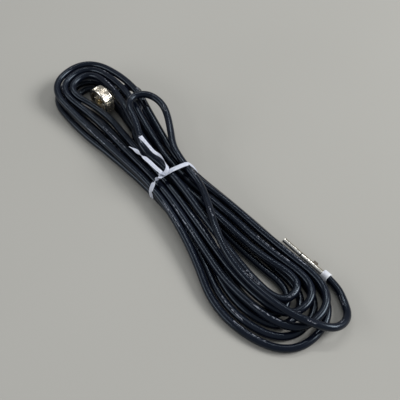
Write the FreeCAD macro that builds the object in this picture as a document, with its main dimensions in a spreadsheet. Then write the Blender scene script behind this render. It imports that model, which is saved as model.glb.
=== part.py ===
import FreeCAD, Part
import Sketcher
import math
import os
from FreeCAD import Placement, Rotation, Vector

# A five millimetre instrument cable, folded into a flat hank and held by a white twist tie. X runs
# along the hank, Y across it, Z up. The origin lies under the middle of the whole, on the table.

doc = FreeCAD.newDocument("instrument_cable")
sizes = doc.addObject("Spreadsheet::Sheet", "Sizes")

SIZES = (
    # Cable and its inside
    ("cable_diameter", 5.0), ("core_diameter", 2.9), ("conductor_diameter", 0.9),
    # Clearances: between loops, between parts at rest, round a turning fit, between inner pieces
    ("loop_gap", 0.6), ("seat_gap", 0.3), ("running_gap", 0.05), ("fit_gap", 0.02),
    # Depth of the flat on which the hank stands
    ("floor_flat", 0.5),
    # Place of the tie, and the turns of each layer
    ("tie_x", -4.87), ("tie_y", 2.42), ("hank_turns", 3.0),
    # Hank: places of its bulges along X, seen from the tie
    ("right_bulge_upper", 78.0), ("right_bulge_lower", 93.0), ("top_bulge_lower", 88.0),
    ("left_bulge", 82.0), ("tail_straight", 5.0),
    # Hank: how far the innermost loops of each layer reach, and how far the plug lead passes the hank
    ("right_end_lower", 115.6), ("right_end_upper", 114.1), ("left_end_lower", 107.9),
    ("left_end_upper", 111.0), ("lead_past_hank", 7.1),
    # Twist tie
    ("ribbon_width", 4.0), ("ribbon_thickness", 0.8), ("wire_diameter", 0.4), ("wire_bare_end", 3.0),
    ("knot_diameter", 3.4), ("knot_length", 6.0),
    # Ring plug
    ("ring_plug_x", -90.0), ("ring_plug_y", 11.0), ("ring_diameter", 21.0), ("ring_length", 7.5),
    ("thread_bore", 16.0), ("neck_length", 1.6), ("journal_diameter", 12.4), ("knurl_depth", 0.5),
    ("knurl_count", 36), ("flange_diameter", 15.0), ("flange_thickness", 1.5),
    ("sleeve_diameter", 12.0), ("sleeve_bore", 9.4), ("sleeve_recess", 1.0), ("notch_width", 1.6),
    ("notch_depth", 1.0), ("notch_count", 4), ("snap_ring_width", 0.6), ("snap_ring_diameter", 13.6),
    ("snap_groove_diameter", 11.4), ("barrel_diameter", 8.6), ("barrel_length", 4.5),
    ("barrel_bore", 6.4), ("insulator_thickness", 2.2), ("pin_diameter", 4.0), ("pin_bore", 2.2),
    ("pin_recess", 0.6), ("nut_length", 3.5), ("nut_across", 8.6),
    # Slim plug
    ("slim_plug_x", 84.0), ("slim_plug_y", 24.9), ("slim_plug_turn", -2.0),
    ("front_tube_diameter", 3.3), ("front_tube_length", 15.0), ("front_tube_wall", 0.4),
    ("rim_diameter", 3.6), ("rim_length", 0.6), ("slim_notch_length", 0.7),
    ("slim_notch_diameter", 2.9), ("rear_barrel_diameter", 3.5), ("rear_barrel_length", 17.0),
    ("slim_core_diameter", 2.3), ("contact_diameter", 1.5), ("contact_recess", 1.5),
    ("block_length", 3.0), ("block_width", 2.2), ("block_height", 2.0), ("block_place", 24.0),
    ("ferrule_diameter", 4.4), ("ferrule_length", 3.4), ("collar_diameter", 6.4),
    ("collar_length", 5.0), ("flag_length", 3.0), ("flag_width", 2.6), ("flag_thickness", 0.8),
)
for row, (alias, number) in enumerate(SIZES, start=1):
    sizes.set("A%d" % row, alias)
    sizes.set("B%d" % row, str(number))
    sizes.setAlias("B%d" % row, alias)
doc.recompute()


def val(alias):
    return float(sizes.get(alias))


# Shared values that follow from the sizes
radius = val("cable_diameter") / 2
pitch = val("cable_diameter") + val("loop_gap")
floor_height = radius - val("floor_flat")
waist_lift = val("floor_flat") + val("ribbon_thickness") + val("seat_gap")
ring_axis_height = val("ring_diameter") / 2
collar_axis_height = val("collar_diameter") / 2
tie = Vector(val("tie_x"), val("tie_y"), 0)
sub_parts = []


def from_tie(x, y, z):
    return tie + Vector(x, y, z)


def keep(part, label):
    part.Label = label
    sub_parts.append(part)
    return part


def solid_feature(label, shape):
    part = doc.addObject("Part::Feature", label)
    part.Shape = shape
    part.Placement = Placement(Vector(0, 0, 0), Rotation())
    return keep(part, label)


# Arcs and tubes
def arc_edge(start, heading, end):
    """Arc from start to end that leaves along heading, or a line where they are in line."""
    chord = end - start
    along = Vector(chord).normalize()
    angle = math.acos(max(-1.0, min(1.0, heading.dot(along))))
    if angle < 1e-5:
        return Part.LineSegment(start, end).toShape()
    side = (heading - along * heading.dot(along)).normalize()
    middle = start + chord * 0.5 + side * (chord.Length / 2 * math.tan(angle / 2))
    return Part.Arc(start, middle, end).toShape()


def biarc(start, start_heading, end, end_heading):
    """Two arcs that join smoothly and meet both headings."""
    chord = end - start
    both = start_heading + end_heading
    turn = 1 - start_heading.dot(end_heading)
    if turn < 1e-9:
        reach = chord.dot(chord) / (4 * chord.dot(end_heading))
    else:
        lean = chord.dot(both)
        reach = (math.sqrt(lean * lean + 2 * turn * chord.dot(chord)) - lean) / (2 * turn)
    joint = (start + end + (start_heading - end_heading) * reach) * 0.5
    joint_heading = (chord - both * reach).normalize()
    return [arc_edge(start, start_heading, joint), arc_edge(joint, joint_heading, end)]


def rounded_route(label, points):
    """Straight runs joined by arcs, each as large as its two runs allow."""
    edges = []
    radii = []
    start = points[0]
    for before, corner, after in zip(points, points[1:], points[2:]):
        into = corner - before
        out = after - corner
        run = min(into.Length, out.Length)
        half_turn = into.getAngle(out) / 2
        arc_radius = 0.45 * run / math.tan(half_turn)
        radii.append(arc_radius)
        arc_start = corner - Vector(into).normalize() * (0.45 * run)
        arc_end = corner + Vector(out).normalize() * (0.45 * run)
        edges.append(Part.LineSegment(start, arc_start).toShape())
        edges.append(arc_edge(arc_start, Vector(into).normalize(), arc_end))
        start = arc_end
    edges.append(Part.LineSegment(start, points[-1]).toShape())
    print(label, "arc radii", " ".join("%.1f" % r for r in radii))
    return Part.Wire(edges)


def tube(wire, diameter):
    start = wire.Edges[0].valueAt(wire.Edges[0].FirstParameter)
    heading = wire.Edges[0].tangentAt(wire.Edges[0].FirstParameter)
    section = Part.Wire([Part.Circle(start, heading, diameter / 2).toShape()])
    return wire.makePipeShell([section], True, False)


def cable_stretch(label, points):
    wire = rounded_route(label, points)
    shape = tube(wire, val("cable_diameter"))
    expected = math.pi * radius ** 2 * wire.Length
    print(label, "length %.1f" % wire.Length, "volume share %.4f" % (shape.Volume / expected))
    solid_feature(label, shape)
    return wire.Length


# Hank: one unbroken tube. It winds outwards in the lower layer, climbs along the lower right run of
# the half turn where it reverses, and winds inwards in the upper layer. The last half turn climbs
# once more and leaves over the top at the tie.
lower = floor_height
upper = floor_height + pitch
over_plug = ring_axis_height + val("barrel_diameter") / 2 + val("seat_gap") + radius
left_end_height = upper + 0.58 * (over_plug - upper)
right_upper = val("right_bulge_upper")
left = val("left_bulge")

# The eight places of a turn in each layer: along and across for a loop of no size, how many pitches
# it moves with each turn, its height, and the heading there. The waist is at the tie.
LOWER_LAYER = (
    (0, 0.25 * pitch, 0, 1, lower + waist_lift, (1, -0.06)),
    (right_upper, -2.8, 0, 1.125, lower, (1, 0.09)),
    (val("right_end_lower"), -14.4, 1.5, 0.16, lower, (0, -1)),
    (val("right_bulge_lower"), -23.3, 0, -1.2, lower, (-1, 0.02)),
    (0, -0.25 * pitch, 0, -1, lower + waist_lift, (-1, 0.01)),
    (-left, 12.0, 0, -1.7, lower, (-1, -0.1)),
    (-val("left_end_lower"), 14.5, -1.68, 0, lower, (0, 1)),
    (-left, 15.5, 0, 1.3, lower, (1, -0.1)),
)
UPPER_LAYER = (
    (0, 0.25 * pitch, 0, 1, upper + waist_lift, (1, -0.06)),
    (right_upper, 1.1, 0, 1.18, upper, (1, 0.09)),
    (val("right_end_upper"), -5.0, 1.69, 0, upper, (0, -1)),
    (val("top_bulge_lower"), -10.5, 0, -1.2, upper, (-1, 0.02)),
    (0, -0.25 * pitch, 0, -1, upper + waist_lift, (-1, 0.01)),
    (-left, 13.4, 0, -1.3, upper, (-1, -0.1)),
    (-val("left_end_upper"), 14.5, -1.72, 0, left_end_height, (0, 1)),
    (-left, 17.0, 0, 1.22, over_plug, (1, -0.1)),
)
PLACES = len(LOWER_LAYER)
CLIMB_PLACE = PLACES // 2


def hank_places():
    turns = val("hank_turns")
    climb = int(PLACES * turns) + CLIMB_PLACE
    last = 2 * int(PLACES * turns) + CLIMB_PLACE
    places = []
    for number in range(last + 1):
        layer = LOWER_LAYER if number < climb else UPPER_LAYER
        size = number / PLACES
        if number >= climb:
            size = (turns + 0.25) * (last - number) / (last - climb)
        x, y, grow_x, grow_y, z, (head_x, head_y) = layer[number % PLACES]
        if number == last:
            z = z + pitch
        spot = from_tie(x + grow_x * pitch * size, y + grow_y * pitch * size, z)
        places.append((spot, Vector(head_x, head_y, 0).normalize()))
    return places


places = hank_places()
tail = val("tail_straight")
first_heading = Vector(1, -0.12, 0).normalize()
first_spot = places[0][0] + Vector(-20, 2.1, 0)
last_heading = Vector(-1, 0.12, 0.05).normalize()
last_spot = places[-1][0] + Vector(-14, 1.2, 0.6)
hank_start = first_spot - first_heading * tail
hank_end = last_spot + last_heading * tail
stops = [(first_spot, first_heading)] + places + [(last_spot, last_heading)]
hank_edges = [Part.LineSegment(hank_start, first_spot).toShape()]
for (start, start_heading), (end, end_heading) in zip(stops, stops[1:]):
    hank_edges += biarc(start, start_heading, end, end_heading)
hank_edges.append(Part.LineSegment(last_spot, hank_end).toShape())
hank_wire = Part.Wire(hank_edges)


def least_gap(wire, diameter, spacing, apart):
    """Least gap of a tube to itself, between points that lie far apart along it."""
    points = wire.discretize(Distance=spacing)
    stride = int(apart / spacing)
    least = wire.Length
    for index, spot in enumerate(points):
        for other in points[index + stride:]:
            if abs(spot.x - other.x) < 2 * diameter and abs(spot.y - other.y) < 2 * diameter:
                least = min(least, spot.distanceToPoint(other))
    return least - diameter


hank_tube = tube(hank_wire, val("cable_diameter"))
hank_radii = [edge.Curve.Radius for edge in hank_wire.Edges if hasattr(edge.Curve, "Radius")]
print("hank length %.1f" % hank_wire.Length, "least radius %.2f" % min(hank_radii))
print("hank least gap %.3f" % least_gap(hank_wire, val("cable_diameter"), 1.5, 30))
print("hank volume share %.4f" % (hank_tube.Volume / (math.pi * radius ** 2 * hank_wire.Length)))
hank_box = hank_tube.BoundBox
below = Part.makeBox(hank_box.XLength, hank_box.YLength, val("cable_diameter"))
below.translate(Vector(hank_box.XMin, hank_box.YMin, -val("cable_diameter")))
solid_feature("cable_hank", hank_tube.cut(below))

# Ring plug: it lies on its side across the hank, its open end towards -Y. Its own axis is Z, from
# the front of the coupling ring at 0 back to the cable.
ring_place = Placement(
    from_tie(val("ring_plug_x"), val("ring_plug_y"), ring_axis_height), Rotation(Vector(1, 0, 0), -90))
neck_start = "(Sizes.ring_length - Sizes.neck_length)"
flange_back = "(Sizes.ring_length - Sizes.neck_length - 4 * Sizes.running_gap)"
flange_front = "(%s - Sizes.flange_thickness)" % flange_back
snap_front = "(Sizes.ring_length + 4 * Sizes.running_gap)"
snap_back = "(%s + Sizes.snap_ring_width)" % snap_front
journal_back = "(%s + Sizes.snap_ring_width)" % snap_back
barrel_back = "(%s + Sizes.barrel_length)" % journal_back
nut_back = "(%s + Sizes.nut_length)" % barrel_back


def number_of(expression):
    result = sizes.evalExpression(expression)
    return float(result)


def half(alias):
    return "Sizes.%s / 2" % alias


def origin_plane(body, role):
    return [item for item in body.Origin.OriginFeatures if item.Role == role][0]


def outline_sketch(body, name, role, corners):
    """Closed outline on a plane of the body, each corner held by two expressions."""
    sketch = body.newObject("Sketcher::SketchObject", name)
    sketch.AttachmentSupport = (origin_plane(body, role), [""])
    sketch.MapMode = "FlatFace"
    spots = [Vector(number_of(across), number_of(along), 0) for across, along in corners]
    count = len(spots)
    for index, spot in enumerate(spots):
        sketch.addGeometry(Part.LineSegment(spot, spots[(index + 1) % count]), False)
    for index in range(count):
        sketch.addConstraint(Sketcher.Constraint("Coincident", index, 2, (index + 1) % count, 1))
    for index, (across, along) in enumerate(corners):
        hold_corner(sketch, index, "DistanceX", -2, across, spots[index].x, "across")
        hold_corner(sketch, index, "DistanceY", -1, along, spots[index].y, "along")
    return sketch


def hold_corner(sketch, index, kind, axis, expression, number, word):
    if expression == "0":
        sketch.addConstraint(Sketcher.Constraint("PointOnObject", index, 1, axis))
        return
    held = sketch.addConstraint(Sketcher.Constraint(kind, -1, 1, index, 1, number))
    name = "corner_%d_%s" % (index, word)
    sketch.renameConstraint(held, name)
    sketch.setExpression("Constraints." + name, expression)


def turned_body(label, corners, place):
    """Body turned about its own Z from an outline of (radius, height) corners."""
    body = doc.addObject("PartDesign::Body", label)
    sketch = outline_sketch(body, label + "_outline", "XZ_Plane", corners)
    turned = body.newObject("PartDesign::Revolution", label + "_turned")
    turned.Profile = sketch
    turned.ReferenceAxis = (sketch, ["V_Axis"])
    turned.Angle = 360
    body.Placement = place
    doc.recompute()
    return keep(body, label)


def pattern_cut(body, name, role, corners, width, count):
    """Groove of the given outline and width, cut round the body's axis as often as count says."""
    sketch = outline_sketch(body, name + "_outline", role, corners)
    cut = body.newObject("PartDesign::Pocket", name)
    cut.Profile = sketch
    cut.Midplane = True
    cut.setExpression("Length", width)
    volume = body.Shape.Volume
    doc.recompute()
    if not body.Shape.Volume < volume:
        raise RuntimeError(name + " cuts nothing")
    pattern = body.newObject("PartDesign::PolarPattern", name + "_round")
    pattern.Originals = [cut]
    pattern.Axis = (origin_plane(body, "Z_Axis"), [""])
    pattern.Angle = 360
    pattern.setExpression("Occurrences", count)
    body.Tip = pattern
    doc.recompute()


turned_body("ring_plug_body", [
    (half("sleeve_bore"), "Sizes.sleeve_recess"), (half("sleeve_diameter"), "Sizes.sleeve_recess"),
    (half("sleeve_diameter"), flange_front), (half("flange_diameter"), flange_front),
    (half("flange_diameter"), flange_back), (half("journal_diameter"), flange_back),
    (half("journal_diameter"), snap_front), (half("snap_groove_diameter"), snap_front),
    (half("snap_groove_diameter"), snap_back), (half("journal_diameter"), snap_back),
    (half("journal_diameter"), journal_back), (half("barrel_diameter"), journal_back),
    (half("barrel_diameter"), barrel_back), (half("barrel_bore"), barrel_back),
    (half("barrel_bore"), flange_back), (half("sleeve_bore"), flange_back)], ring_place)
pattern_cut(sub_parts[-1], "sleeve_notch", "XZ_Plane", [
    (half("sleeve_bore") + " - Sizes.seat_gap", "Sizes.sleeve_recess - Sizes.seat_gap"),
    (half("sleeve_diameter") + " + Sizes.seat_gap", "Sizes.sleeve_recess - Sizes.seat_gap"),
    (half("sleeve_diameter") + " + Sizes.seat_gap", "Sizes.sleeve_recess + Sizes.notch_depth"),
    (half("sleeve_bore") + " - Sizes.seat_gap", "Sizes.sleeve_recess + Sizes.notch_depth")],
    "Sizes.notch_width", "Sizes.notch_count")

ring_bore = half("journal_diameter") + " + Sizes.running_gap"
turned_body("coupling_ring", [
    (half("thread_bore"), "0"), (half("ring_diameter"), "0"),
    (half("ring_diameter"), "Sizes.ring_length"), (ring_bore, "Sizes.ring_length"),
    (ring_bore, neck_start), (half("thread_bore"), neck_start)], ring_place)
knurl = half("ring_diameter") + " - Sizes.knurl_depth"
pattern_cut(sub_parts[-1], "knurl_groove", "XZ_Plane", [
    (knurl, "Sizes.knurl_depth * 2"), (half("ring_diameter") + " + Sizes.seat_gap", "Sizes.knurl_depth * 2"),
    (half("ring_diameter") + " + Sizes.seat_gap", "Sizes.ring_length - Sizes.knurl_depth * 2"),
    (knurl, "Sizes.ring_length - Sizes.knurl_depth * 2")],
    "Sizes.knurl_depth * 1.6", "Sizes.knurl_count")

turned_body("ring_plug_snap_ring", [
    (half("snap_groove_diameter") + " + Sizes.fit_gap", snap_front + " + Sizes.fit_gap"),
    (half("snap_ring_diameter"), snap_front + " + Sizes.fit_gap"),
    (half("snap_ring_diameter"), snap_back + " - Sizes.fit_gap"),
    (half("snap_groove_diameter") + " + Sizes.fit_gap", snap_back + " - Sizes.fit_gap")], ring_place)
insulator_front = "(%s - Sizes.insulator_thickness)" % flange_back
turned_body("ring_plug_insulator", [
    (half("pin_diameter") + " + Sizes.fit_gap", insulator_front),
    (half("sleeve_bore") + " - Sizes.fit_gap", insulator_front),
    (half("sleeve_bore") + " - Sizes.fit_gap", flange_back),
    (half("pin_diameter") + " + Sizes.fit_gap", flange_back)], ring_place)
pin_back = "(%s + Sizes.pin_diameter / 2)" % flange_back
turned_body("ring_plug_centre_pin", [
    (half("pin_bore"), "Sizes.pin_recess"), (half("pin_diameter"), "Sizes.pin_recess"),
    (half("pin_diameter"), pin_back), (half("pin_bore"), pin_back)], ring_place)
turned_body("ring_plug_clamp_sleeve", [
    (half("core_diameter") + " + Sizes.fit_gap", pin_back + " + Sizes.seat_gap"),
    (half("barrel_bore") + " - Sizes.fit_gap", pin_back + " + Sizes.seat_gap"),
    (half("barrel_bore") + " - Sizes.fit_gap", barrel_back),
    (half("core_diameter") + " + Sizes.fit_gap", barrel_back)], ring_place)
turned_body("ring_end_core", [
    (half("conductor_diameter") + " + Sizes.fit_gap", pin_back),
    (half("core_diameter"), pin_back), (half("core_diameter"), nut_back),
    (half("conductor_diameter") + " + Sizes.fit_gap", nut_back)], ring_place)


def rod(label, diameter, front, back, place):
    part = doc.addObject("Part::Cylinder", label)
    part.setExpression("Radius", diameter + " / 2")
    part.setExpression("Height", "(%s) - (%s)" % (back, front))
    doc.recompute()
    part.Placement = place.multiply(Placement(Vector(0, 0, number_of(front)), Rotation()))
    return keep(part, label)


rod("ring_end_conductor", "Sizes.conductor_diameter", insulator_front, nut_back, ring_place)

# The cable nut is a hexagon with its corners turned off, over the inner insulation
nut = doc.addObject("Part::Prism", "nut_hexagon")
nut.Polygon = 6
nut.setExpression("Circumradius", "Sizes.nut_across / sqrt(3)")
nut.setExpression("Height", "Sizes.nut_length - Sizes.fit_gap")
nut_round = doc.addObject("Part::Cylinder", "nut_turned")
nut_round.setExpression("Radius", "Sizes.nut_across * 0.54")
nut_round.setExpression("Height", "Sizes.nut_length")
nut_blank = doc.addObject("Part::Common", "nut_blank")
nut_blank.Base = nut
nut_blank.Tool = nut_round
nut_bore = doc.addObject("Part::Cylinder", "nut_bore")
nut_bore.setExpression("Radius", "Sizes.core_diameter / 2 + Sizes.fit_gap")
nut_bore.setExpression("Height", "Sizes.nut_length")
cable_nut = doc.addObject("Part::Cut", "ring_plug_cable_nut")
cable_nut.Base = nut_blank
cable_nut.Tool = nut_bore
doc.recompute()
cable_nut.Placement = ring_place.multiply(Placement(Vector(0, 0, number_of(barrel_back)), Rotation()))
keep(cable_nut, "ring_plug_cable_nut")

# Slim plug: its own axis is Z, from the free flat end at 0 back to the cable. It lies along the upper
# edge of the hank with its free end towards the tie.
slim_turn = math.radians(val("slim_plug_turn"))
slim_heading = Vector(math.cos(slim_turn), math.sin(slim_turn), 0)
slim_spot = from_tie(val("slim_plug_x"), val("slim_plug_y"), collar_axis_height)
slim_place = Placement(slim_spot, Rotation(Vector(0, 0, 1), slim_heading))
tube_back = "Sizes.front_tube_length"
barrel_front = "(Sizes.front_tube_length + Sizes.slim_notch_length)"
rear_back = "(%s + Sizes.rear_barrel_length)" % barrel_front
ferrule_back = "(%s + Sizes.ferrule_length)" % rear_back
tube_bore = half("front_tube_diameter") + " - Sizes.front_tube_wall"

turned_body("slim_plug_front_tube", [
    (tube_bore, "0"), (half("rim_diameter"), "0"), (half("rim_diameter"), "Sizes.rim_length"),
    (half("front_tube_diameter"), "Sizes.rim_length"), (half("front_tube_diameter"), tube_back),
    (tube_bore, tube_back)], slim_place)
turned_body("slim_plug_insulator", [
    (half("contact_diameter") + " + Sizes.fit_gap", "Sizes.contact_recess"),
    (tube_bore + " - Sizes.fit_gap", "Sizes.contact_recess"), (tube_bore + " - Sizes.fit_gap", tube_back),
    (half("contact_diameter") + " + Sizes.fit_gap", tube_back)], slim_place)
rod("slim_plug_contact", "Sizes.contact_diameter", "Sizes.contact_recess / 2", tube_back, slim_place)
turned_body("slim_plug_rear_barrel", [
    (half("slim_core_diameter") + " + Sizes.fit_gap", tube_back), (half("slim_notch_diameter"), tube_back),
    (half("slim_notch_diameter"), barrel_front), (half("rear_barrel_diameter"), barrel_front),
    (half("rear_barrel_diameter"), rear_back),
    (half("slim_core_diameter") + " + Sizes.fit_gap", rear_back)], slim_place)
turned_body("slim_end_core", [
    (half("conductor_diameter") + " + Sizes.fit_gap", tube_back + " + Sizes.seat_gap"),
    (half("slim_core_diameter"), tube_back + " + Sizes.seat_gap"), (half("slim_core_diameter"), ferrule_back),
    (half("conductor_diameter") + " + Sizes.fit_gap", ferrule_back)], slim_place)
rod("slim_end_conductor", "Sizes.conductor_diameter", tube_back, ferrule_back, slim_place)
turned_body("slim_plug_ferrule", [
    (half("slim_core_diameter") + " + Sizes.fit_gap", rear_back), (half("ferrule_diameter"), rear_back),
    (half("ferrule_diameter"), ferrule_back),
    (half("slim_core_diameter") + " + Sizes.fit_gap", ferrule_back)], slim_place)

# The side block sits on the barrel's far side: a box less the barrel
block_box = doc.addObject("Part::Box", "block_box")
block_box.setExpression("Length", "Sizes.block_height")
block_box.setExpression("Width", "Sizes.block_width")
block_box.setExpression("Height", "Sizes.block_length")
block_box.setExpression("Placement.Base.x", "-Sizes.block_height / 2")
block_box.setExpression("Placement.Base.y", "Sizes.rear_barrel_diameter / 4")
barrel_tool = doc.addObject("Part::Cylinder", "block_barrel_tool")
barrel_tool.setExpression("Radius", "Sizes.rear_barrel_diameter / 2")
barrel_tool.setExpression("Height", "Sizes.block_length")
side_block = doc.addObject("Part::Cut", "slim_plug_side_block")
side_block.Base = block_box
side_block.Tool = barrel_tool
doc.recompute()
side_block.Placement = slim_place.multiply(Placement(Vector(0, 0, val("block_place")), Rotation()))
keep(side_block, "slim_plug_side_block")

# White collar over the ferrule and the end of the jacket, with a small flag on its near side
collar_front = number_of(ferrule_back) - val("collar_length") / 2
collar_round = doc.addObject("Part::Cylinder", "collar_round")
collar_round.setExpression("Radius", "Sizes.collar_diameter / 2")
collar_round.setExpression("Height", "Sizes.collar_length")
flag = doc.addObject("Part::Box", "collar_flag")
flag.setExpression("Length", "Sizes.flag_thickness")
flag.setExpression("Width", "Sizes.flag_width + Sizes.collar_diameter / 2")
flag.setExpression("Height", "Sizes.flag_length")
flag.setExpression("Placement.Base.x", "-Sizes.flag_thickness / 2")
flag.setExpression("Placement.Base.y", "-Sizes.flag_width - Sizes.collar_diameter / 2")
flag.setExpression("Placement.Base.z", "(Sizes.collar_length - Sizes.flag_length) / 2")
collar_blank = doc.addObject("Part::Fuse", "collar_blank")
collar_blank.Base = collar_round
collar_blank.Tool = flag
collar_bore = doc.addObject("Part::Cylinder", "collar_bore")
collar_bore.setExpression("Radius", "Sizes.cable_diameter / 2 + Sizes.running_gap")
collar_bore.setExpression("Height", "Sizes.collar_length")
collar = doc.addObject("Part::Cut", "white_collar")
collar.Base = collar_blank
collar.Tool = collar_bore
doc.recompute()
collar.Placement = slim_place.multiply(Placement(Vector(0, 0, collar_front), Rotation()))
keep(collar, "white_collar")

# Free stretches of the cable, from the ring plug to the hank, and from the hank to the slim plug
ring_exit = ring_place.multVec(Vector(0, 0, number_of(nut_back)))
lead_length = cable_stretch("cable_ring_lead", [
    ring_exit, ring_exit + Vector(0, 7.8, 0), from_tie(-86, 40.4, 9.4), from_tie(-80, 41.5, 8.7),
    from_tie(-74.4, 38.7, 8.5), from_tie(-68, 32, 8.6), from_tie(-60, 22.5, 8.8),
    from_tie(-47.5, 9.8, 6.6), hank_start - first_heading * 10, hank_start])
loop_length = cable_stretch("cable_small_loop", [
    hank_end, hank_end + last_heading * 9, from_tie(-40, 8.8, 19.3), from_tie(-52, 15.5, 21.6),
    from_tie(-60.5, 18.2, 22.9), from_tie(-67.3, 22.3, 23.5), from_tie(-69.5, 28.6, 23.9),
    from_tie(-66.5, 34.6, 23.9), from_tie(-60.2, 37, 23.2), from_tie(-51, 35.6, 21.9),
    from_tie(-42, 31.5, 20), from_tie(-29, 25, 17.7),
    from_tie(-16, 19, 15.4), from_tie(-4, 15.5, 14.6), from_tie(8, 13, 14.6)])
slim_exit = slim_place.multVec(Vector(0, 0, number_of(ferrule_back)))
hank_end_place = LOWER_LAYER[2]
hank_reach = hank_end_place[0] + hank_end_place[2] * pitch * (val("hank_turns") + 0.25)
reach = hank_reach + val("lead_past_hank")
plug_length = cable_stretch("cable_plug_lead", [
    from_tie(8, 13, 14.6), from_tie(22, 10.08, 14.6), from_tie(38, 1.5, 15.6), from_tie(54, -8, 16.1),
    from_tie(72, -15.5, 15.2), from_tie(91, -18.5, 14), from_tie(109, -18.5, 13.6),
    from_tie(125, -16.5, 13.6), from_tie(reach - 12, -12, 13.4), from_tie(reach - 2.5, -5, 10.5),
    from_tie(reach, 3.5, 7), from_tie(reach - 2.5, 12, 4.4), from_tie(reach - 10, 17.8, 3.3),
    slim_exit + slim_heading * 9, slim_exit])
whole = lead_length + hank_wire.Length + loop_length + plug_length
print("cable length in all %.0f" % whole)

# Twist tie: a band round the strands at the waist, a twisted knot on top and two tails
half_band = val("ribbon_width") / 2
band_gap = radius + val("seat_gap")
waist_spots = [spot for spot, heading in places if abs(spot.x - tie.x) < 0.01]
waist_spots += [from_tie(0, 14.1, 14.6), from_tie(0, 15.3, 14.6)]


def band_wire(reach):
    """Hull of the strands at the waist, as lines and arcs that stay the given reach from them."""
    centres = convex_hull([(spot.y, spot.z) for spot in waist_spots])
    edges = []
    count = len(centres)
    for index in range(count):
        before = Vector(0, *centres[index - 1])
        here = Vector(0, *centres[index])
        after = Vector(0, *centres[(index + 1) % count])
        out_before = side_of(here - before) * reach
        out_after = side_of(after - here) * reach
        out_middle = (out_before + out_after).normalize() * reach
        edges.append(Part.Arc(here + out_before, here + out_middle, here + out_after).toShape())
        edges.append(Part.LineSegment(here + out_after, after + out_after).toShape())
    return Part.Wire(edges)


def side_of(run):
    return Vector(0, run.z, -run.y).normalize()


def convex_hull(spots):
    """Corners of the outline round the spots, in order, turning left."""
    ordered = sorted(set((round(y, 4), round(z, 4)) for y, z in spots))
    hull = []
    for sweep in (ordered, ordered[::-1]):
        chain = []
        for spot in sweep:
            while len(chain) > 1 and turn_of(chain[-2], chain[-1], spot) <= 1e-6:
                chain.pop()
            chain.append(spot)
        hull += chain[:-1]
    return hull


def turn_of(a, b, c):
    return (b[0] - a[0]) * (c[1] - a[1]) - (b[1] - a[1]) * (c[0] - a[0])


outer = Part.Face(band_wire(band_gap + val("ribbon_thickness")))
inner = Part.Face(band_wire(band_gap))
band = outer.cut(inner).Faces[0].extrude(Vector(val("ribbon_width"), 0, 0))
band.translate(Vector(tie.x - half_band, 0, 0))
knot_height = band.BoundBox.ZMax + val("knot_diameter") / 2 - val("ribbon_thickness")
knot = Part.makeCylinder(val("knot_diameter") / 2, val("knot_length"),
                         from_tie(-val("knot_length") - 1, 1, knot_height), Vector(1, 0, 0))
knot = knot.fuse(Part.makeCylinder(val("knot_diameter") / 2, val("knot_diameter"),
                                   from_tie(-1, 1, knot_height - val("knot_diameter") / 2), Vector(0, 0, 1)))
knot = knot.Solids[0]


def ribbon_tail(label, points):
    wire = rounded_route(label, points)
    start = points[0]
    heading = (points[1] - points[0]).normalize()
    across = Vector(0, 0, 1).cross(heading).normalize() * half_band
    rise = heading.cross(across).normalize() * (val("ribbon_thickness") / 2)
    corners = [start + across + rise, start - across + rise, start - across - rise, start + across - rise]
    section = Part.makePolygon(corners + corners[:1])
    return wire, wire.makePipeShell([section], True, False)


knot_spot = from_tie(-val("knot_length"), 1, knot_height)
wire_tail, flat_tail = ribbon_tail("tie_flat_tail", [
    knot_spot, from_tie(-14, 5.5, knot_height + 2.5), from_tie(-22, 3.5, knot_height + 3.4),
    from_tie(-29, 5.5, knot_height + 4.4), from_tie(-36, 6, knot_height + 5)])
bent_route, bent_tail = ribbon_tail("tie_bent_tail", [
    knot_spot, from_tie(-14, -3.2, knot_height + 0.8), from_tie(-22, -3.6, knot_height + 1.4),
    from_tie(-31, -3, knot_height + 2.2), from_tie(-38, -4.5, knot_height + 2.4)])
wire_end = wire_tail.Vertexes[-1].Point
wire_heading = (wire_tail.Vertexes[-1].Point - wire_tail.Vertexes[-2].Point).normalize()
bare_end = wire_end + wire_heading * val("wire_bare_end")
wire_route = Part.Wire(wire_tail.Edges + [Part.LineSegment(wire_end, bare_end).toShape()])
wire_shape = tube(wire_route, val("wire_diameter"))
ribbon = band.fuse([knot, flat_tail, bent_tail])
solid_feature("tie_ribbon", ribbon.cut(wire_shape).Solids[0])
solid_feature("tie_wire", wire_shape)


def check_and_write():
    doc.recompute()
    for item in doc.Objects:
        if "Invalid" in item.State or "Error" in item.State:
            raise RuntimeError(item.Name + " failed: " + " ".join(item.State))
    os.makedirs("parts", exist_ok=True)
    box = FreeCAD.BoundBox()
    for part in sub_parts:
        if part.Shape.isNull() or not part.Shape.isValid() or not part.Shape.Solids:
            raise RuntimeError(part.Label + " has no valid solid")
        box.add(part.Shape.BoundBox)
        part.Shape.exportStep(os.path.join("parts", part.Label + ".step"))
    print("box x %.1f to %.1f, y %.1f to %.1f, z %.2f to %.1f" % (
        box.XMin, box.XMax, box.YMin, box.YMax, box.ZMin, box.ZMax))
    print(len(sub_parts), "sub-parts written")


check_and_write()
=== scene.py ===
import math

import bmesh
import bpy
from mathutils import Matrix, Vector


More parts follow.
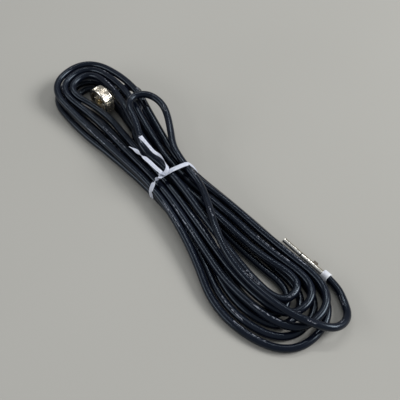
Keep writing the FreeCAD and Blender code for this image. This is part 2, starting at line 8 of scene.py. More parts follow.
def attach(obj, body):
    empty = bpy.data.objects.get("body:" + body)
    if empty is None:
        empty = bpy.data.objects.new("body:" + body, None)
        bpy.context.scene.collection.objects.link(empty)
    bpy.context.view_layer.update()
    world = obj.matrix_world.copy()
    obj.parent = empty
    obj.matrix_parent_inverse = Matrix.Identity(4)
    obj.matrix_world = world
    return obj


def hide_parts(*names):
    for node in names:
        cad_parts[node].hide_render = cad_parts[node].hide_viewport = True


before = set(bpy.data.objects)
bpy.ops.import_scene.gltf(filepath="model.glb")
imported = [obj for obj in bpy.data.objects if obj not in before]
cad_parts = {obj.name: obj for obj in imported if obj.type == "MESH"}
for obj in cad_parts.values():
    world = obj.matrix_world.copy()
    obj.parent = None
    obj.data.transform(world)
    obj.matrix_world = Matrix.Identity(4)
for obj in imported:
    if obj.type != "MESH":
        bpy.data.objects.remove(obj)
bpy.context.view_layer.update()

# Table, light and camera: a pale grey-beige table top under a broad soft lamp from the far right, a
# dim one from the near left and a long narrow one for the thin shine along the strands. The camera
# looks down on the hank from its near right, as the photograph does.


class Socket:
    """An output of a finish's nodes, which stands in sums as a number does."""

    def __init__(self, finish, output):
        self.finish = finish
        self.output = output

    def maths(self, operation, *terms):
        return self.finish.node("ShaderNodeMath", {"operation": operation}, dict(enumerate(terms)))

    def __add__(self, other):
        return self.maths("ADD", self, other)

    def __sub__(self, other):
        return self.maths("SUBTRACT", self, other)

    def __rsub__(self, other):
        return self.maths("SUBTRACT", other, self)

    def __mul__(self, other):
        return self.maths("MULTIPLY", self, other)

    def __gt__(self, other):
        return self.maths("GREATER_THAN", self, other)

    def __lt__(self, other):
        return self.maths("LESS_THAN", self, other)

    __radd__ = __add__
    __rmul__ = __mul__


class Finish:
    """A material and the nodes that it is made of."""

    def __init__(self, name, surface):
        self.material = bpy.data.materials.new(name)
        self.material.use_nodes = True
        self.tree = self.material.node_tree
        self.shader = self.tree.nodes["Principled BSDF"]
        self.feed(self.shader, surface)

    def feed(self, node, inputs):
        for name, value in inputs.items():
            if isinstance(value, Socket):
                self.tree.links.new(value.output, node.inputs[name])
            else:
                node.inputs[name].default_value = value

    def node(self, kind, settings, inputs, output=0):
        made = self.tree.nodes.new(kind)
        for name, value in settings.items():
            setattr(made, name, value)
        self.feed(made, inputs)
        return Socket(self, made.outputs[output])

    def place(self):
        return self.node("ShaderNodeTexCoord", {}, {}, "Object")

    def noise(self, scale, detail=3, where=None):
        return self.node("ShaderNodeTexNoise", {}, {
            "Vector": where or self.place(), "Scale": scale, "Detail": detail})

    def spread(self, value, low, high, to_low, to_high):
        return self.node("ShaderNodeMapRange", {}, {
            "Value": value, "From Min": low, "From Max": high, "To Min": to_low, "To Max": to_high})

    def blend(self, share, one, other):
        return self.node("ShaderNodeMix", {"data_type": "RGBA"}, {0: share, 6: one, 7: other}, 2)

    def bump(self, height, depth, strength):
        return self.node("ShaderNodeBump", {}, {
            "Height": height, "Distance": depth, "Strength": strength})

    def coat(self, **inputs):
        """Feeds the shader, with each socket's name written with underscores."""
        self.feed(self.shader, {name.replace("_", " "): value for name, value in inputs.items()})


table_finish = Finish("table_top", {"Roughness": 0.75, "Specular IOR Level": 0.2})
cloudy = table_finish.noise(3, 2)
table_finish.coat(Base_Color=table_finish.blend(
    table_finish.spread(cloudy, 0.3, 0.7, 0, 1), (0.44, 0.432, 0.4, 1), (0.465, 0.457, 0.425, 1)))

bpy.ops.mesh.primitive_plane_add(size=6)
table_top = bpy.context.object
table_top.name = "table_top"
table_top.data.materials.append(table_finish.material)

world = bpy.data.worlds.new("studio")
bpy.context.scene.world = world
world.use_nodes = True
room_light = world.node_tree.nodes["Background"]
room_light.inputs["Color"].default_value = (0.93, 0.965, 1, 1)
room_light.inputs["Strength"].default_value = 0.3


def lamp(name, place, size, power):
    """Rectangular lamp that faces the middle of the hank."""
    light = bpy.data.lights.new(name, "AREA")
    light.shape = "RECTANGLE"
    light.size, light.size_y = size
    light.energy = power
    made = bpy.data.objects.new(name, light)
    made.location = place
    made.rotation_euler = (-Vector(place)).to_track_quat("-Z", "Y").to_euler()
    bpy.context.collection.objects.link(made)


lamp("broad_lamp", (1.05, 1.25, 1.25), (1.1, 0.8), 32)
lamp("near_lamp", (-0.9, -1.5, 0.8), (1.3, 0.5), 8.5)
lamp("narrow_lamp", (-0.55, 0.5, 1.3), (1.2, 0.06), 4)

camera = bpy.data.objects.new("camera", bpy.data.cameras.new("camera"))
bpy.context.collection.objects.link(camera)
camera.location = (0.2311, -0.1878, 0.3748)
line_of_sight = Vector((-0.4506, 0.4196, -0.788))
camera.rotation_euler = line_of_sight.to_track_quat("-Z", "Y").to_euler()
camera.data.sensor_width = 36
camera.data.lens = 63.4
bpy.context.scene.camera = camera
bpy.context.scene.view_settings.view_transform = "Standard"

# Cable: one black lead with an extruded PVC jacket, printed with plain pale dashes. It runs from the
# slim plug over the top of the hank, through the small fold, six and a half times round the hank in
# two layers, and out to the ring plug.
MM = 0.001

# The lead's diameter and the place of the tie in millimetres. Each layer of the hank
# has three turns, and the lower one half a turn more.
CABLE_DIAMETER = 5
TIE = Vector((-4.87, 2.42, 0))
TURNS = 3

# The fourteen places of a turn in each layer, in millimetres from the tie: along and across on the
# layer's first turn, the step along and across to the next turn, and the height
LOWER_LAYER = (
    (-0.1, 3.7, -0.3, 5.1, 4.3),
    (42, 1.5, 0.3, 6.3, 2.9),
    (80, -1, 0.2, 6.9, 2.5),
    (113.7, 0.6, 8.7, 4.9, 2.5),
    (120.8, -20.2, 8.1, -3.9, 2.5),
    (92, -25, 1, -6.8, 2.5),
    (49.1, -7.6, 0, -5.4, 2.9),
    (2, -1.4, 0, -5.1, 4.3),
    (-45.3, 1.5, 0, -6, 2.9),
    (-83.6, 6, 0, -9.3, 2.5),
    (-112.7, 1, -7.4, -4, 2.5),
    (-116.4, 24.7, -7.5, 3.8, 2.5),
    (-83, 23.3, 0, 7.7, 2.5),
    (-44, 12.8, 0, 7.2, 2.9),
)
UPPER_LAYER = (
    (-1.4, 14.1, 0, -5.1, 9.6),
    (43, 17.2, 0, -6.4, 8.6),
    (80, 16.2, 0, -6.9, 7.7),
    (135.2, 17.9, -9.9, -4.7, 7.7),
    (138.5, -22.5, -10.4, 4.8, 7.7),
    (89, -27.9, 0, 7.5, 7.7),
    (47.4, -17.5, 0, 6, 8.4),
    (2.7, -11.4, -1.3, 5.1, 9.6),
    (-45.3, -9.5, 0, 6.8, 8.2),
    (-82.3, -8.4, 0, 9.4, 7.7),
    (-128, -7, 6.3, 3.5, 12.2),
    (-131.5, 33, 6.1, -3.6, 13.7),
    (-81.6, 38, 0, -7.2, 19),
    (-43.7, 26.5, 0, -7.8, 13.4),
)
# Heights of three points between layers, by their number: the climb from the lower to the upper one,
# and the last two, where the cable rises over the other strands and leaves the hank
LIFTS = {48: 6.8, 90: 10.4, 91: 15.2}


def hank_turns():
    """Points of the hank, outwards for three and a half turns and back inwards for three."""
    a_turn = len(LOWER_LAYER)
    climb = TURNS * a_turn + a_turn // 2
    points = []
    for number in range(climb + TURNS * a_turn + 1):
        layer, turn = LOWER_LAYER, number // a_turn
        if number >= climb:
            layer, turn = UPPER_LAYER, (number - climb) // a_turn
        along, across, next_along, next_across, height = layer[number % a_turn]
        height = LIFTS.get(number, height)
        points.append(Vector((along + next_along * turn, across + next_across * turn, height)))
    return points


# The free stretches, measured in the same way: the lead from the ring plug, the small fold, and the
# lead to the slim plug
ring_lead = [Vector(point) for point in (
    (-90, 27.9, 10.5), (-90, 34.4, 10.5), (-86.4, 40, 9.6), (-79.8, 41.4, 9.2), (-74.4, 38.7, 9),
    (-68, 32, 9), (-60, 22.5, 9), (-47.5, 9.8, 7.4), (-34.9, 6.6, 3.8))]
small_loop = [Vector(point) for point in (
    (-27.9, 1.5, 16.1), (-40, 8.8, 19.3), (-51, 14, 21.6), (-59, 16.2, 22.9), (-64.6, 20.8, 23.5),
    (-66, 27.6, 23.9), (-61.8, 34, 23.9), (-54.6, 36.9, 23.2), (-46.2, 36.8, 21.9), (-38, 33.6, 20),
    (-27.4, 27, 17.7), (-16, 19, 16.4), (-4, 15.5, 15.4), (8, 13, 15.4))]
plug_lead = [Vector(point) for point in (
    (22, 10.1, 15.4), (38, 2, 16), (54, -7.6, 16.8), (72, -15.5, 15.6), (91, -18.5, 14),
    (109, -18.5, 13.6), (125, -16.5, 13.6), (138, -12, 13.4), (147.5, -5, 10.5), (150, 3.5, 7),
    (147.5, 12, 4.4), (140, 17.8, 3.3), (129.07, 23.33, 3.2), (120.08, 23.64, 3.2))]
route = [(TIE + point) * MM for point in ring_lead + hank_turns() + small_loop + plug_lead]
route.reverse()

cable_line = bpy.data.curves.new("instrument_cable", "CURVE")
cable_line.dimensions = "3D"
cable_line.twist_mode = "Z_UP"
line = cable_line.splines.new("NURBS")
line.points.add(len(route) - 1)
for point, spot in zip(line.points, route):
    point.co = (*spot, 1)
line.order_u = 3
line.use_endpoint_u = True
cable_line.resolution_u = 14
cable_line.bevel_depth = CABLE_DIAMETER / 2 * MM
cable_line.bevel_resolution = 6
cable_line.use_fill_caps = True
cable = bpy.data.objects.new("instrument_cable", cable_line)
bpy.context.collection.objects.link(cable)

jacket = Finish("cable_jacket", {"Specular IOR Level": 0.34, "Specular Tint": (0.7, 0.85, 1, 1)})
mottle = jacket.noise(60, 4)
grain = jacket.noise(2600, 2)
unrolled = jacket.node("ShaderNodeTexCoord", {}, {}, "UV")
along = jacket.node("ShaderNodeSeparateXYZ", {}, {"Vector": unrolled}, 0)
around = jacket.node("ShaderNodeSeparateXYZ", {}, {"Vector": unrolled}, 1)

# The print is a narrow row of dashes in groups, and it wanders round the jacket as the lead twists
wander = jacket.noise(1, 1, jacket.node("ShaderNodeCombineXYZ", {}, {"X": along * 40}))
beside = around + wander * 0.8
dashes = jacket.noise(1, 2, jacket.node("ShaderNodeCombineXYZ", {}, {
    "X": along * 2600, "Y": around * 22}))
groups = jacket.noise(1, 0, jacket.node("ShaderNodeCombineXYZ", {}, {"X": along * 130}))
row_start, row_end, dash_level, group_level, ink_strength = 0.62, 0.67, 0.53, 0.58, 0.7
printed = (beside > row_start) * (beside < row_end) * (dashes > dash_level) * (groups > group_level)
black = jacket.blend(
    jacket.spread(mottle, 0.35, 0.65, 0, 1), (0.003, 0.0042, 0.0095, 1), (0.005, 0.0068, 0.014, 1))
ink = (0.36, 0.38, 0.44, 1)
jacket.coat(
    Base_Color=jacket.blend(printed * ink_strength, black, ink),
    Roughness=jacket.spread(mottle, 0.3, 0.7, 0.17, 0.25),
    Normal=jacket.bump(grain, 0.02 * MM, 0.4))
cable.data.materials.append(jacket.material)
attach(cable, "cable_set")
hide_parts("cable_hank", "cable_small_loop", "cable_plug_lead", "cable_ring_lead")

# Ring plug, turning part: the nickel plated coupling ring, turned from brass bar, with a knurled band
# outside and a fine thread inside that draws the plug into its socket. It lies on its side, and its
# axis, which is Z in the outlines, points to the hank's far side.
ring_plug_mouth = (TIE + Vector((-90, 11, 10.5))) * MM
RING_PLUG = Matrix.Translation(ring_plug_mouth) @ Matrix.Rotation(math.radians(-90), 4, "X")


def turned(name, sides, outline):
    """Ring about Z: a circle drawn through each (radius, height) of the outline and closed again."""
    bpy.ops.object.select_all(action="DESELECT")
    radius, height = outline[0]
    bpy.ops.mesh.primitive_circle_add(
        vertices=sides, radius=radius * MM, location=(0, 0, height * MM))
    piece = bpy.context.object
    piece.name = name
    bpy.ops.object.transform_apply()
    bpy.ops.object.mode_set(mode="EDIT")
    bpy.ops.mesh.select_mode(type="VERT")
    bpy.ops.mesh.select_all(action="SELECT")
    for next_radius, next_height in outline[1:] + outline[:1]:
        bpy.ops.mesh.extrude_region_move(
            TRANSFORM_OT_translate={"value": (0, 0, (next_height - height) * MM)})
        growth = next_radius / radius
        bpy.ops.transform.resize(
            value=(growth, growth, 1), center_override=(0, 0, next_height * MM))
        radius, height = next_radius, next_height
    bpy.ops.mesh.select_all(action="SELECT")
    bpy.ops.mesh.remove_doubles(threshold=0.00001)
    bpy.ops.mesh.normals_make_consistent(inside=False)
    bpy.ops.object.mode_set(mode="OBJECT")
    return piece


def pick_faces(piece, wanted):
    """In edit mode, leaves only the faces selected whose middle, in millimetres, is wanted."""
    bpy.ops.mesh.select_mode(type="FACE")
    bpy.ops.mesh.select_all(action="DESELECT")
    shape = bmesh.from_edit_mesh(piece.data)
    for face in shape.faces:
        face.select_set(wanted(face.calc_center_median() / MM))
    bmesh.update_edit_mesh(piece.data)


def finish_piece(piece, place, rounding, finish, body):
    """Rounds the piece's edges, seats it in its place, and gives it its finish and its body."""
    bpy.ops.object.select_all(action="DESELECT")
    piece.select_set(True)
    bpy.context.view_layer.objects.active = piece
    edges = piece.modifiers.new("rounded_edges", "BEVEL")
    edges.width = rounding * MM
    edges.segments = 2
    edges.angle_limit = math.radians(25)
    bpy.ops.object.modifier_apply(modifier=edges.name)
    bpy.ops.object.shade_smooth_by_angle(angle=math.radians(40))
    piece.matrix_world = place
    bpy.ops.object.transform_apply()
    piece.data.materials.clear()
    piece.data.materials.append(finish.material)
    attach(piece, body)


nickel = Finish("nickel", {"Metallic": 1.0})
handling = nickel.noise(160)
turning = nickel.noise(1, 3, nickel.node("ShaderNodeMapping", {}, {
    "Vector": nickel.place(), "Scale": (700, 5200, 700)}))
nickel.coat(
    Base_Color=nickel.blend(
        nickel.spread(handling, 0.4, 0.7, 0, 1), (0.74, 0.7, 0.62, 1), (0.5, 0.45, 0.37, 1)),
    Roughness=nickel.spread(handling, 0.3, 0.75, 0.12, 0.3),
    Normal=nickel.bump(turning, 0.01 * MM, 0.15))

RING_RADIUS = 10.5
KNURLED_FROM, KNURLED_TO = 1, 6.5
KNURL_DEGREES, GROOVE_DEGREES, GROOVE_FLOOR = 10, 5, 10.15
THREAD_CREST, THREAD_ROOT, THREAD_END, QUARTER_PITCH, QUARTERS = 8.0, 8.35, 5.4, 0.26, 19
thread = [
    (THREAD_ROOT if step % 4 in (1, 2) else THREAD_CREST, THREAD_END - step * QUARTER_PITCH)
    for step in range(QUARTERS)]
screw_ring = turned("screw_ring", 144, [
    (8.2, 0), (10.1, 0), (RING_RADIUS, 0.35), (RING_RADIUS, KNURLED_FROM), (RING_RADIUS, KNURLED_TO),
    (RING_RADIUS, 7.15), (10.1, 7.5), (6.6, 7.5), (6.25, 7.3), (6.25, 5.9), (8, 5.9)] + thread + [
    (8, 0.3)])
bpy.ops.object.mode_set(mode="EDIT")
pick_faces(screw_ring, lambda spot: (
    KNURLED_FROM < spot.z < KNURLED_TO and spot.xy.length > GROOVE_FLOOR and
    math.degrees(math.atan2(spot.y, spot.x)) % KNURL_DEGREES < GROOVE_DEGREES))
bpy.ops.mesh.extrude_region_move(TRANSFORM_OT_translate={"value": (0, 0, 0)})
sunk = GROOVE_FLOOR / RING_RADIUS
bpy.ops.transform.resize(
    value=(sunk, sunk, 0.94), center_override=(0, 0, (KNURLED_FROM + KNURLED_TO) / 2 * MM))
bpy.ops.object.mode_set(mode="OBJECT")
finish_piece(screw_ring, RING_PLUG, 0.1, nickel, "screw_ring")
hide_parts("coupling_ring")

# Ring plug, body: one nickel plated brass turning. Its notched inner sleeve meets the socket, the
# coupling ring bears on its shoulder and is kept on by a wire ring in its groove, and its rear barrel
# takes the cable.
plug_shell = turned("plug_shell", 96, [
    (4.7, 1), (6, 1), (6, 2), (6, 4.2), (7.5, 4.2), (7.5, 5.7), (6.2, 5.7), (6.2, 7.7), (5.7, 7.7),
    (5.7, 8.3), (6.2, 8.3), (6.2, 8.9), (4.3, 8.9), (4.3, 10.4), (4.1, 10.5), (4.1, 11.1),
    (4.3, 11.2), (4.3, 13.4), (3.2, 13.4), (3.2, 5.7), (4.7, 5.7), (4.7, 2)])
NOTCH_WIDTH, NOTCH_REACH, NOTCH_MIDDLE, NOTCH_DEPTH = 1.6, 14, 1.4, 1.2
for across_x, across_y in ((NOTCH_WIDTH, NOTCH_REACH), (NOTCH_REACH, NOTCH_WIDTH)):
    bpy.ops.object.select_all(action="DESELECT")
    bpy.ops.mesh.primitive_cube_add(size=1, location=(0, 0, NOTCH_MIDDLE * MM))
    cutter = bpy.context.object
    cutter.scale = (across_x * MM, across_y * MM, NOTCH_DEPTH * MM)
    bpy.ops.object.transform_apply()
    notches = plug_shell.modifiers.new("notches", "BOOLEAN")
    notches.object = cutter
    bpy.context.view_layer.objects.active = plug_shell
    bpy.ops.object.modifier_apply(modifier=notches.name)
    bpy.data.objects.remove(cutter)
finish_piece(plug_shell, RING_PLUG, 0.08, nickel, "cable_set")
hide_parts("ring_plug_body")

# Ring plug, contact: a hollow gilt brass pin in the middle of the sleeve, held by a white moulded
# disc that is pressed into the body from behind.
white_moulding = Finish("white_moulding", {"Specular IOR Level": 0.4})
yellowing = white_moulding.noise(300)
white_moulding.coat(
    Base_Color=white_moulding.blend(
        white_moulding.spread(yellowing, 0.35, 0.7, 0, 1),
        (0.72, 0.7, 0.63, 1), (0.6, 0.56, 0.47, 1)),
    Roughness=white_moulding.spread(yellowing, 0.3, 0.7, 0.42, 0.58),
    Normal=white_moulding.bump(white_moulding.noise(1800, 2), 0.03 * MM, 0.4))
pin_disc = turned("pin_disc", 72, [
    (2.02, 3.5), (2.7, 3.5), (2.9, 3.9), (4.1, 3.9), (4.25, 3.5), (4.68, 3.5), (4.68, 5.7),
    (2.02, 5.7)])
finish_piece(pin_disc, RING_PLUG, 0.07, white_moulding, "cable_set")
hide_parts("ring_plug_insulator")

gilt = Finish("gilt_brass", {"Metallic": 1.0})
rubbing = gilt.noise(900)
gilt.coat(
    Base_Color=gilt.blend(
        gilt.spread(rubbing, 0.4, 0.7, 0, 1), (0.72, 0.56, 0.26, 1), (0.58, 0.47, 0.27, 1)),
    Roughness=gilt.spread(rubbing, 0.3, 0.7, 0.16, 0.32))
centre_pin = turned("centre_pin", 48, [
    (1.1, 0.9), (1.3, 0.6), (1.75, 0.6), (2, 0.85), (2, 7.7), (1.1, 7.7)])
finish_piece(centre_pin, RING_PLUG, 0.05, gilt, "cable_set")
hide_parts("ring_plug_centre_pin")

# Ring plug, rear: a small hexagon nut with turned corners clamps the jacket into the barrel. The wire
# ring behind the coupling ring, the clamp sleeve, the core and the conductor keep their plain shapes.
clamp_nut = turned("clamp_nut", 6, [
    (1.72, 13.4), (4.35, 13.4), (4.96, 13.75), (4.96, 16.55), (4.35, 16.88), (1.72, 16.88)])
finish_piece(clamp_nut, RING_PLUG, 0.16, nickel, "cable_set")
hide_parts("ring_plug_cable_nut")


def worn_finish(name, metallic, grain_scale, bright, dull, solids):
    """Coats CAD solids that keep their plain shapes in one finish, worn from bright to dull."""
    plain = Finish(name, {"Metallic": metallic})
    wear = plain.noise(grain_scale)
    plain.coat(
        Base_Color=plain.blend(plain.spread(wear, 0.35, 0.7, 0, 1), bright, dull),
        Roughness=plain.spread(wear, 0.3, 0.7, 0.25, 0.42))
    for solid in solids:
        bpy.data.objects[solid].data.materials.clear()
        bpy.data.objects[solid].data.materials.append(plain.material)


worn_finish("spring_steel", 1.0, 800, (0.6, 0.6, 0.6, 1), (0.42, 0.41, 0.4, 1), (
    "ring_plug_snap_ring",))
worn_finish("clamp_brass", 1.0, 600, (0.66, 0.52, 0.27, 1), (0.48, 0.38, 0.22, 1), (
    "ring_plug_clamp_sleeve", "slim_plug_contact"))
worn_finish("core_insulation", 0.0, 400, (0.74, 0.73, 0.69, 1), (0.64, 0.62, 0.57, 1), (
    "ring_end_core", "slim_end_core", "slim_plug_insulator"))
worn_finish("copper_wire", 1.0, 900, (0.72, 0.36, 0.2, 1), (0.5, 0.25, 0.15, 1), (
    "ring_end_conductor", "slim_end_conductor"))

# Slim plug: a bright tinned tube contact with a flat end, a short waist behind it and a longer rear
# barrel, crimped to the cable through a ferrule. It lies along the hank's far edge, and the outlines'
# Z runs from its tip to the cable.
slim_plug_tip = (TIE + Vector((84, 24.9, 3.2))) * MM
slim_heading = Vector((math.cos(math.radians(-2)), math.sin(math.radians(-2)), 0))
slim_side = Vector((-slim_heading.y, slim_heading.x, 0))
laid_down = Vector((0, 0, 1)).rotation_difference(slim_heading).to_matrix().to_4x4()
SLIM_PLUG = Matrix.Translation(slim_plug_tip) @ laid_down
tin = Finish("bright_tin", {"Metallic": 0.85})
wear_and_reflection_noise = tin.noise(150)
drawing = tin.noise(1, 2, tin.node("ShaderNodeMapping", {}, {
    "Vector": tin.place(), "Scale": (160, 5200, 5200)}))

# Painted reflection: the tin is painted darker brown on the side away from the hank.
# Painted shade: the waist is painted near black
tin_along = tin.node("ShaderNodeVectorMath", {"operation": "DOT_PRODUCT"}, {
    0: tin.place(), 1: slim_heading}, 1) - slim_plug_tip.dot(slim_heading)
tin_across = tin.node("ShaderNodeVectorMath", {"operation": "DOT_PRODUCT"}, {
    0: tin.place(), 1: slim_side}, 1) - slim_plug_tip.dot(slim_side)
REFLECTION_FROM, REFLECTION_TO, WAIST_FROM, WAIST_TO = 0.5, 1.1, 14.9, 15.8
# Painted reflection: darker brown along the side away from the hank, its edge wobbled by noise
painted_reflection_share = tin.spread(tin_across + wear_and_reflection_noise * (0.8 * MM), REFLECTION_FROM * MM, REFLECTION_TO * MM, 0, 1)
# Painted shade: near black across the waist between the front tube and the rear barrel
painted_waist_shade = (tin_along > WAIST_FROM * MM) * (tin_along < WAIST_TO * MM)
# The tin's own colour, the painted reflection's brown and the painted shade's near black
tin_colour, painted_reflection_tin, waist_shade_colour = (0.88, 0.86, 0.8, 1), (0.34, 0.29, 0.2, 1), (0.03, 0.027, 0.022, 1)
tin.coat(
    Base_Color=tin.blend(painted_waist_shade, tin.blend(painted_reflection_share, tin_colour, painted_reflection_tin), waist_shade_colour),
    Roughness=tin.spread(wear_and_reflection_noise, 0.3, 0.75, 0.2, 0.35),
    Normal=tin.bump(drawing, 0.008 * MM, 0.12))
front_tube = turned("front_tube", 64, [
    (1.25, 0), (1.72, 0), (1.8, 0.1), (1.8, 0.5), (1.65, 0.65), (1.65, 14.85), (1.5, 15), (1.25, 15)])
finish_piece(front_tube, SLIM_PLUG, 0.05, tin, "cable_set")
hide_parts("slim_plug_front_tube")
rear_barrel = turned("rear_barrel", 64, [
    (1.17, 15), (1.4, 15), (1.4, 15.65), (1.65, 15.7), (1.75, 15.85), (1.75, 21.4), (1.68, 21.5),
    (1.68, 21.8), (1.75, 21.9), (1.75, 32.7), (1.17, 32.7)])
finish_piece(rear_barrel, SLIM_PLUG, 0.05, tin, "cable_set")
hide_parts("slim_plug_rear_barrel")
crimped_ferrule = turned("crimped_ferrule", 64, [
    (1.17, 32.7), (2.05, 32.7), (2.2, 32.85), (2.2, 33.3), (2, 33.5), (2, 33.9), (2.2, 34.1),
    (2.2, 34.8), (2, 35), (2, 35.4), (2.2, 35.6), (2.2, 36.1), (1.17, 36.1)])
finish_piece(crimped_ferrule, SLIM_PLUG, 0.06, tin, "cable_set")
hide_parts("slim_plug_ferrule")

# Side block: a small brown-grey plastic moulding pressed on to the rear barrel, on the side away from
# the hank, with a shallow recess in its outer face.
moulded_brown = Finish("brown_moulding", {"Specular IOR Level": 0.35})
speckle = moulded_brown.noise(700, 4)
moulded_brown.coat(
    Base_Color=moulded_brown.blend(
        moulded_brown.spread(speckle, 0.3, 0.7, 0, 1),
        (0.15, 0.125, 0.1, 1), (0.1, 0.085, 0.07, 1)),
    Roughness=moulded_brown.spread(speckle, 0.3, 0.7, 0.5, 0.68),
    Normal=moulded_brown.bump(speckle, 0.04 * MM, 0.4))
BLOCK_WIDTH, BLOCK_HEIGHT, BLOCK_LENGTH, RECESS_RIM, RECESS_DEPTH = 2, 1.8, 3, 0.4, 0.25
bpy.ops.object.select_all(action="DESELECT")
bpy.ops.mesh.primitive_cube_add(size=1, location=(0, 2.15 * MM, 25.5 * MM))
side_block = bpy.context.object
side_block.name = "side_block"
side_block.scale = (BLOCK_WIDTH * MM, BLOCK_HEIGHT * MM, BLOCK_LENGTH * MM)
bpy.ops.object.transform_apply()
bpy.ops.object.mode_set(mode="EDIT")
pick_faces(side_block, lambda spot: spot.y > 2.9)
bpy.ops.mesh.inset(thickness=RECESS_RIM * MM)
bpy.ops.mesh.extrude_region_move(TRANSFORM_OT_translate={"value": (0, -RECESS_DEPTH * MM, 0)})
bpy.ops.object.mode_set(mode="OBJECT")
finish_piece(side_block, SLIM_PLUG, 0.15, moulded_brown, "cable_set")
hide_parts("slim_plug_side_block")

# White collar: a soft translucent sleeve over the ferrule and the end of the jacket, moulded in one
# with a small flag that stands out on its near side.
milky = Finish("milky_sleeve", {"Specular IOR Level": 0.5, "Subsurface Weight": 0.25})
clouding = milky.noise(260)
milky.coat(
    Base_Color=milky.blend(
        milky.spread(clouding, 0.35, 0.7, 0, 1), (0.82, 0.84, 0.88, 1), (0.68, 0.7, 0.78, 1)),
    Roughness=milky.spread(clouding, 0.3, 0.7, 0.28, 0.42),
    Normal=milky.bump(clouding, 0.05 * MM, 0.3))
milky.shader.inputs["Subsurface Radius"].default_value = (0.002, 0.002, 0.002)
FLAG_FROM, FLAG_TO, FLAG_REACH = 34.6, 37.6, 2.55
collar_sleeve = turned("collar_sleeve", 64, [
    (2.56, 33.6), (3.05, 33.6), (3.2, 33.8), (3.2, FLAG_FROM), (3.2, FLAG_TO), (3.2, 38.4),
    (3.05, 38.6), (2.56, 38.6)])
bpy.ops.object.mode_set(mode="EDIT")
pick_faces(collar_sleeve, lambda spot: (
    FLAG_FROM < spot.z < FLAG_TO and spot.y < -3 and abs(spot.x) < 0.3))
bpy.ops.mesh.extrude_region_move(TRANSFORM_OT_translate={"value": (0, -FLAG_REACH * MM, 0)})
bpy.ops.object.mode_set(mode="OBJECT")
finish_piece(collar_sleeve, SLIM_PLUG, 0.1, milky, "cable_set")
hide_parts("white_collar")

# Twist tie: a white plastic ribbon with a steel wire moulded into its middle. It goes once round the
# waist, its ends are twisted together on top, and both tails lie towards the ring plug.
ribbon_section = bpy.data.curves.new("ribbon_section", "CURVE")
half_section = ((-1.75, 0.06), (-1.65, 0.2), (-1.5, 0.16), (-0.5, 0.16), (-0.28, 0.38), (0.28, 0.38),
                (0.5, 0.16), (1.5, 0.16), (1.65, 0.2), (1.75, 0.06))
outline = list(half_section) + [(across, -height) for across, height in reversed(half_section)]
edge = ribbon_section.splines.new("POLY")
edge.points.add(len(outline) - 1)
for point, (across, height) in zip(edge.points, outline):
    point.co = (across * MM, height * MM, 0, 1)
edge.use_cyclic_u = True
section = bpy.data.objects.new("ribbon_section", ribbon_section)
bpy.context.collection.objects.link(section)

ribbon_plastic = Finish("ribbon_plastic", {"Specular IOR Level": 0.5, "Subsurface Weight": 0.1})
ribbon_plastic.shader.inputs["Subsurface Radius"].default_value = (0.001, 0.001, 0.001)
creases = ribbon_plastic.noise(650)
ribbon_across = ribbon_plastic.node("ShaderNodeSeparateXYZ", {}, {
    "Vector": ribbon_plastic.node("ShaderNodeTexCoord", {}, {}, "UV")}, 1)
ribs = ribbon_plastic.noise(1, 1, ribbon_plastic.node("ShaderNodeCombineXYZ", {}, {
    "Y": ribbon_across * 60}))
ribbon_plastic.coat(
    Base_Color=ribbon_plastic.blend(
        ribbon_plastic.spread(creases, 0.35, 0.7, 0, 1),
        (0.72, 0.75, 0.84, 1), (0.54, 0.58, 0.7, 1)),
    Roughness=ribbon_plastic.spread(creases, 0.3, 0.7, 0.3, 0.45),
    Normal=ribbon_plastic.bump(ribs, 0.06 * MM, 0.5))


def ribbon(name, spots, closed=False):
    """Length of ribbon through spots of (x, y, z, degrees turned about its line, share of width)."""
    strip = bpy.data.curves.new(name, "CURVE")
    strip.dimensions = "3D"
    strip.twist_mode = "MINIMUM" if closed else "Z_UP"
    strip.resolution_u = 10
    run = strip.splines.new("NURBS")
    run.points.add(len(spots) - 1)
    for point, (x, y, z, turn, share) in zip(run.points, spots):
        point.co = (*((TIE + Vector((x, y, z))) * MM), 1)
        point.tilt = math.radians(turn)
        point.radius = share
    run.order_u = 3
    run.use_endpoint_u = not closed
    run.use_cyclic_u = closed
    strip.bevel_mode = "OBJECT"
    strip.bevel_object = section
    strip.use_fill_caps = True
    piece = bpy.data.objects.new(name, strip)
    bpy.context.collection.objects.link(piece)
    bpy.ops.object.select_all(action="DESELECT")
    piece.select_set(True)
    bpy.context.view_layer.objects.active = piece
    bpy.ops.object.convert(target="MESH")
    piece = bpy.context.object
    bpy.ops.object.mode_set(mode="EDIT")
    bpy.ops.mesh.select_all(action="SELECT")
    bpy.ops.mesh.remove_doubles(threshold=0.000001)
    bpy.ops.mesh.normals_make_consistent(inside=False)
    bpy.ops.object.mode_set(mode="OBJECT")
    bpy.ops.object.shade_smooth_by_angle(angle=math.radians(50))
    piece.data.materials.clear()
    piece.data.materials.append(ribbon_plastic.material)
    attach(piece, "cable_set")
    return piece


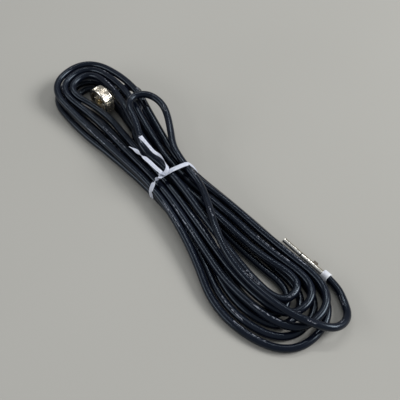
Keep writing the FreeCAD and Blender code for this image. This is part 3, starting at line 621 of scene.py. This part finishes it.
band = ribbon("band", [(-2, -6.6, 14.8, 30, 0.7), (-2.5, -8.9, 13.9, 80, 0.4)] + [
    (*spot, 0, 0.9) for spot in (
    (-2.1, -10.6, 13.4), (-1.2, -12.6, 12.6), (-0.4, -14.8, 10.4), (0.1, -15.3, 7), (0.4, -14.8, 3),
    (0.8, -12.5, 0.7), (2, -4, 0.65), (3.2, 8, 0.65), (4.3, 18.5, 0.65),
    (4.9, 21.6, 1.2), (5, 22.3, 4.3), (4.8, 20.6, 9), (4.4, 18, 14), (3.7, 15.2, 18), (2.8, 11, 18.6),
    (1.9, 7.2, 18.5), (0.9, 3.6, 18.4), (0, 0.3, 17.4))], closed=True)
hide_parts("tie_ribbon", "tie_wire")
ribbon("flared_tail", (
    (-0.6, -3.8, 17.6, 60, 0.6), (0.4, -1.7, 19.2, 30, 0.8), (-0.8, 1.2, 20.6, 20, 0.7),
    (-4.4, 2.4, 21.3, 60, 0.4), (-8.2, 3.5, 21.6, 100, 0.35), (-12.2, 3.8, 22, 150, 0.5),
    (-16.4, 2.6, 22.4, 180, 0.7), (-21.6, 3.2, 23, 184, 0.65), (-26.8, 3.6, 23.8, 182, 0.65),
    (-32, 3.9, 24.6, 180, 0.9)))
ribbon("bent_tail", (
    (-1, -2.8, 17.6, -40, 0.6), (-2, -4.2, 19.8, -10, 0.75), (-7.6, -4.6, 20.6, 0, 0.8),
    (-13.1, -4.4, 21, 5, 0.85), (-18.4, -4.5, 21, 10, 0.9), (-20.6, -4.7, 21, 60, 0.5),
    (-21.9, -4.8, 21, 90, 0.3), (-23.2, -4.7, 21, 120, 0.5), (-25.5, -4.6, 21.2, 150, 0.8),
    (-28, -5, 21.5, 165, 0.5), (-29.6, -5.5, 21.8, 180, 0.2), (-32, -6.3, 22.1, 180, 0.12)))
ribbon("knot", (
    (-2.7, -8.4, 14.4, 0, 0.5), (-2.1, -7, 15.6, 90, 0.9), (-1.6, -5.6, 16.8, 180, 1.1),
    (-1.1, -4, 17.6, 280, 1.05), (-0.7, -2.4, 18, 370, 0.9), (-0.2, -0.6, 17.8, 450, 0.6)))
bpy.data.objects.remove(section)
